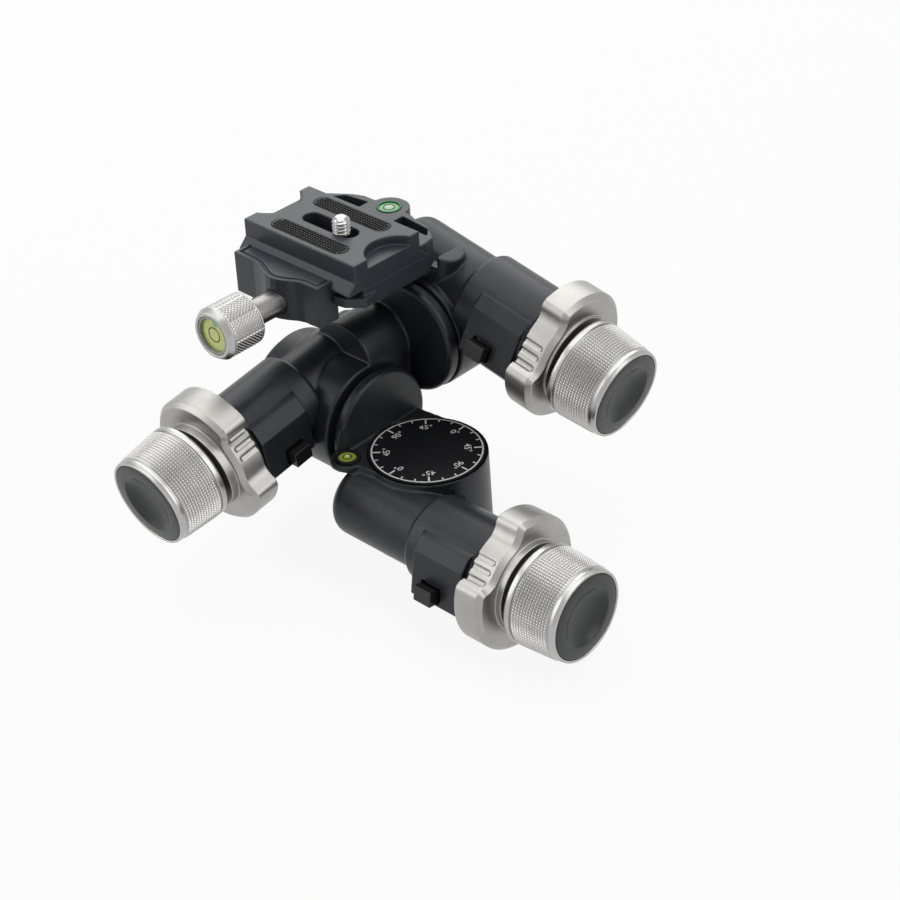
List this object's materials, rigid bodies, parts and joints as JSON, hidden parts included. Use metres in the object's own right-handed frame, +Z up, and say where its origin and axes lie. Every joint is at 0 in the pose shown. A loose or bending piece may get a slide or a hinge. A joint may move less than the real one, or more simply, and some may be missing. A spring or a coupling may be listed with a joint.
{
  "type": "geared tripod head",
  "caption": "Geared camera tripod head with worm-driven pan, tilt and roll stages, knurled knobs, winged release collars and a dovetail quick-release clamp with its plate.",
  "frame": {"origin": "centre of the tripod face, on the pan axis", "axes": "+Z up along the pan axis; +X along the pan barrel towards its knob; +Y towards the roll stage at the back"},
  "size_m": [0.1634, 0.1541, 0.1131],
  "materials": {
    "black_anodised": "satin black, fine blasted texture",
    "dial_black": "satin black with white printed scale",
    "silver_aluminium": "bead-blasted silver",
    "black_plastic": "matte black",
    "bronze": "turned bronze",
    "bearing_plastic": "slippery bearing plastic",
    "level_vial": "clear yellow-green vial",
    "rubber": "ribbed rubber",
    "steel": "turned steel"
  },
  "bodies": {
    "base": {"base_plate": "black_anodised", "pan_shaft": "steel", "pan_wheel": "bronze", "pan_washer": "bearing_plastic", "pan_nut": "steel", "dial_plate": "dial_black"},
    "pan_stage": {"body1_housing": "black_anodised", "pan_bush": "bronze", "pan_bush_rear": "bronze", "pan_bush_front": "bronze", "pan_sleeve": "black_anodised", "pan_level": "level_vial", "tilt_shaft": "steel", "tilt_wheel": "bronze", "tilt_washer": "bearing_plastic", "tilt_nut": "steel"},
    "pan_drive": {"pan_worm": "steel", "pan_knob": "silver_aluminium", "pan_cap": "black_plastic"},
    "pan_release": {"pan_collar": "silver_aluminium"},
    "pan_lock": {"pan_button": "black_plastic"},
    "tilt_stage": {"body2_housing": "black_anodised", "tilt_bush": "bronze", "tilt_bush_rear": "bronze", "tilt_bush_front": "bronze", "tilt_sleeve": "black_anodised", "tilt_cover": "black_anodised", "roll_shaft": "steel", "roll_wheel": "bronze", "roll_washer": "bearing_plastic", "roll_nut": "steel"},
    "tilt_drive": {"tilt_worm": "steel", "tilt_knob": "silver_aluminium", "tilt_cap": "black_plastic"},
    "tilt_release": {"tilt_collar": "silver_aluminium"},
    "tilt_lock": {"tilt_button": "black_plastic"},
    "roll_stage": {"body3_housing": "black_anodised", "roll_bush": "bronze", "roll_bush_rear": "bronze", "roll_bush_front": "bronze", "roll_sleeve": "black_anodised", "roll_cover": "black_anodised", "clamp_body": "black_anodised", "clamp_level": "level_vial", "clamp_bolt_left": "steel", "clamp_bolt_right": "steel"},
    "roll_drive": {"roll_worm": "steel", "roll_knob": "silver_aluminium", "roll_cap": "black_plastic"},
    "roll_release": {"roll_collar": "silver_aluminium"},
    "roll_lock": {"roll_button": "black_plastic"},
    "jaw": {"clamp_jaw": "black_anodised"},
    "clamp_drive": {"clamp_screw": "steel", "clamp_knob": "silver_aluminium", "knob_level": "level_vial"},
    "plate": {"qr_plate": "black_anodised", "strip_front": "rubber", "strip_rear": "rubber"},
    "plate_screw": {"camera_screw": "steel"}
  },
  "joints": [
    {"name": "pan", "type": "hinge", "parent": "base", "child": "pan_stage", "pos_m": [0, 0, 0], "axis": [0, 0, 1], "continuous": true},
    {"name": "tilt", "type": "hinge", "parent": "pan_stage", "child": "tilt_stage", "pos_m": [0, 0, 0.0393], "axis": [1, 0, 0], "range_deg": [-45, 30]},
    {"name": "roll", "type": "hinge", "parent": "tilt_stage", "child": "roll_stage", "pos_m": [-0.0286, 0, 0.0617], "axis": [0, 1, 0], "range_deg": [-20, 28]},
    {"name": "pan_knob_spin", "type": "hinge", "parent": "pan_stage", "child": "pan_drive", "pos_m": [0, -0.0196, 0.0217], "axis": [1, 0, 0], "continuous": true},
    {"name": "tilt_knob_spin", "type": "hinge", "parent": "tilt_stage", "child": "tilt_drive", "pos_m": [-0.05, -0.00213, 0.05192], "axis": [0, -0.986, -0.1668], "range_deg": [-955, 640]},
    {"name": "roll_knob_spin", "type": "hinge", "parent": "roll_stage", "child": "roll_drive", "pos_m": [-0.02585, 0.0429, 0.07584], "axis": [0.9816, 0, -0.1908], "range_deg": [-510, 710]},
    {"name": "pan_collar_turn", "type": "hinge", "parent": "pan_stage", "child": "pan_release", "pos_m": [0, -0.0196, 0.0217], "axis": [1, 0, 0], "range_deg": [-25, 0], "stiffness_Nm_per_rad": 0.4, "springref_deg": 5.73},
    {"name": "tilt_collar_turn", "type": "hinge", "parent": "tilt_stage", "child": "tilt_release", "pos_m": [-0.05, -0.00213, 0.05192], "axis": [0, -0.986, -0.1668], "range_deg": [-25, 0], "stiffness_Nm_per_rad": 0.4, "springref_deg": 5.73},
    {"name": "roll_collar_turn", "type": "hinge", "parent": "roll_stage", "child": "roll_release", "pos_m": [-0.02585, 0.0429, 0.07584], "axis": [0.9816, 0, -0.1908], "range_deg": [-25, 0], "stiffness_Nm_per_rad": 0.4, "springref_deg": 5.73},
    {"name": "pan_button_push", "type": "slide", "parent": "pan_stage", "child": "pan_lock", "axis": [0, 0.9903, -0.1392], "range_m": [0, 0.0012], "stiffness_N_per_m": 800, "springref_m": -0.0005},
    {"name": "tilt_button_push", "type": "slide", "parent": "tilt_stage", "child": "tilt_lock", "axis": [-1, 0, 0], "range_m": [0, 0.0012], "stiffness_N_per_m": 800, "springref_m": -0.0005},
    {"name": "roll_button_push", "type": "slide", "parent": "roll_stage", "child": "roll_lock", "axis": [-0.059, 0.9511, -0.3033], "range_m": [0, 0.0012], "stiffness_N_per_m": 800, "springref_m": -0.0005},
    {"name": "jaw_slide", "type": "slide", "parent": "roll_stage", "child": "jaw", "axis": [0, -1, 0], "range_m": [0, 0.005]},
    {"name": "clamp_knob_spin", "type": "hinge", "parent": "jaw", "child": "clamp_drive", "pos_m": [-0.048, 0, 0.08848], "axis": [0, -1, 0], "range_deg": [-1810, 10]},
    {"name": "plate_slide", "type": "slide", "parent": "roll_stage", "child": "plate", "axis": [1, 0, 0], "range_m": [-0.012, 0.012]},
    {"name": "plate_screw_spin", "type": "hinge", "parent": "plate", "child": "plate_screw", "pos_m": [-0.0428, 0.0073, 0.106], "axis": [0, 0, 1], "continuous": true}
  ],
  "couplings": [
    {"joint": "pan_knob_spin", "follows": "pan", "ratio": 38},
    {"joint": "tilt_knob_spin", "follows": "tilt", "ratio": 21},
    {"joint": "roll_knob_spin", "follows": "roll", "ratio": 25},
    {"joint": "clamp_knob_spin", "follows": "jaw_slide", "rad_per_m": -6283.2}
  ]
}
